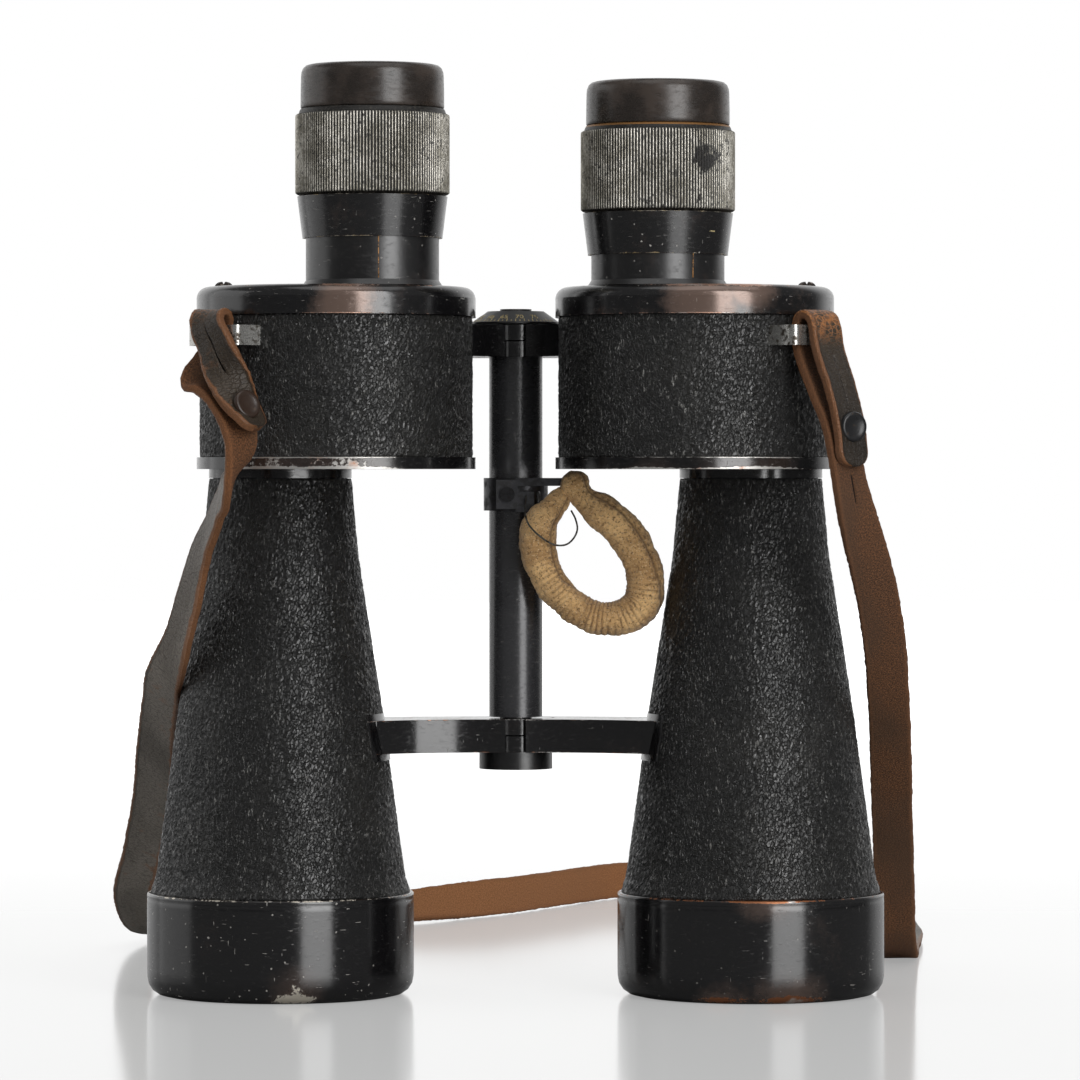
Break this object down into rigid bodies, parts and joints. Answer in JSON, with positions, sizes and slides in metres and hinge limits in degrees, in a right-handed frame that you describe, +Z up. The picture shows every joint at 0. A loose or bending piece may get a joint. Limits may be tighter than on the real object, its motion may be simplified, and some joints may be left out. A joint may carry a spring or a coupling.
{
  "type": "marine binoculars",
  "caption": "Folding prism binoculars with separately focused eyepieces, leather-covered tapered tubes, a central hinge column, a neck strap and a carrying loop.",
  "frame": {"origin": "centre of the box of the binoculars without their strap, on the surface they stand on", "axes": "+Z up along the optical axes, with the hinge plane at x = 0; -Y is the front, the side of the eyepieces and strap lugs; +X is the half that carries the hinge spindle"},
  "size_m": [0.2017, 0.3588, 0.2078],
  "materials": {
    "inner_casting": "cast light alloy, blackened, seen only at its edges",
    "grained_leather": "black coarse-grained leather glued over the casting",
    "black_lacquer": "gloss black lacquer on light alloy, worn bright at the edges",
    "screw_steel": "slotted steel screws, lacquer worn off",
    "blackened_brass": "turned brass, blackened against stray light",
    "objective_glass": "polished cemented doublet",
    "prism_glass": "polished prism glass with ground sides",
    "spring_steel": "thin spring strip",
    "lug_steel": "blackened steel strip, worn bright at its edges",
    "eyepiece_glass": "polished eyepiece lens",
    "worn_toothed_metal": "toothed light alloy, lacquer left between the teeth",
    "dark_bakelite": "dark brown-black moulded resin, half gloss",
    "spindle_steel": "turned steel",
    "column_lacquer": "satin black lacquer on turned brass",
    "dial_lacquer": "black lacquer with pale engraved numbers",
    "clamp_metal": "dark grey blackened steel",
    "wire_steel": "thin tinned wire",
    "loop_cloth": "tan cloth sewn round a firm core",
    "strap_leather": "brown leather strap, smooth on one face and suede on the other",
    "stud_metal": "domed stud, black and half gloss"
  },
  "bodies": {
    "right_half": {"prism_housing_right": "inner_casting", "housing_leather_right": "grained_leather", "ocular_plate_right": "black_lacquer", "plate_screws_right": "screw_steel", "objective_tube_right": "inner_casting", "tube_leather_right": "grained_leather", "objective_ring_right": "black_lacquer", "lens_cell_right": "blackened_brass", "objective_lens_right": "objective_glass", "lens_retainer_right": "blackened_brass", "prism_shelf_right": "inner_casting", "lower_prism_right": "prism_glass", "upper_prism_right": "prism_glass", "prism_clips_right": "spring_steel", "lower_arm_right": "black_lacquer", "strap_lug_right": "lug_steel", "eyepiece_socket_right": "black_lacquer", "hinge_spindle": "spindle_steel", "hinge_column": "column_lacquer", "distance_dial": "dial_lacquer", "hinge_nut": "column_lacquer", "clamp_collar": "clamp_metal", "clamp_screw": "screw_steel", "loop_hook": "clamp_metal", "loop_wire": "wire_steel", "carrying_loop": "loop_cloth", "strap_right": "strap_leather", "strap_middle": "strap_leather", "strap_stud_right": "stud_metal"},
    "left_half": {"prism_housing_left": "inner_casting", "housing_leather_left": "grained_leather", "ocular_plate_left": "black_lacquer", "plate_screws_left": "screw_steel", "objective_tube_left": "inner_casting", "tube_leather_left": "grained_leather", "objective_ring_left": "black_lacquer", "lens_cell_left": "blackened_brass", "objective_lens_left": "objective_glass", "lens_retainer_left": "blackened_brass", "prism_shelf_left": "inner_casting", "lower_prism_left": "prism_glass", "upper_prism_left": "prism_glass", "prism_clips_left": "spring_steel", "lower_arm_left": "black_lacquer", "strap_lug_left": "lug_steel", "eyepiece_socket_left": "black_lacquer", "strap_left": "strap_leather", "strap_stud_left": "stud_metal"},
    "right_eyepiece": {"eyepiece_barrel_right": "blackened_brass", "field_lens_right": "eyepiece_glass", "eye_lens_right": "eyepiece_glass"},
    "right_focus": {"dioptre_ring_right": "black_lacquer", "focus_ring_right": "worn_toothed_metal", "eyecup_right": "dark_bakelite"},
    "left_eyepiece": {"eyepiece_barrel_left": "blackened_brass", "field_lens_left": "eyepiece_glass", "eye_lens_left": "eyepiece_glass"},
    "left_focus": {"dioptre_ring_left": "black_lacquer", "focus_ring_left": "worn_toothed_metal", "eyecup_left": "dark_bakelite"}
  },
  "joints": [
    {"name": "hinge_fold", "type": "hinge", "parent": "right_half", "child": "left_half", "pos_m": [0, 0.016, 0.1], "axis": [0, 0, -1], "range_deg": [-12, 20], "deforming": ["strap_middle"]},
    {"name": "right_focus_travel", "type": "slide", "parent": "right_half", "child": "right_eyepiece", "axis": [0, 0, 1], "range_m": [-0.0033, 0.0042]},
    {"name": "right_focus_turn", "type": "hinge", "parent": "right_eyepiece", "child": "right_focus", "pos_m": [0.0316, -0.017, 0.18], "axis": [0, 0, 1], "range_deg": [-132, 168]},
    {"name": "left_focus_travel", "type": "slide", "parent": "left_half", "child": "left_eyepiece", "axis": [0, 0, 1], "range_m": [-0.00705, 0.00045]},
    {"name": "left_focus_turn", "type": "hinge", "parent": "left_eyepiece", "child": "left_focus", "pos_m": [-0.0316, -0.017, 0.18], "axis": [0, 0, 1], "range_deg": [-282, 18]}
  ],
  "couplings": [
    {"joint": "right_focus_turn", "follows": "right_focus_travel", "rad_per_m": 698.13},
    {"joint": "left_focus_turn", "follows": "left_focus_travel", "rad_per_m": 698.13}
  ]
}
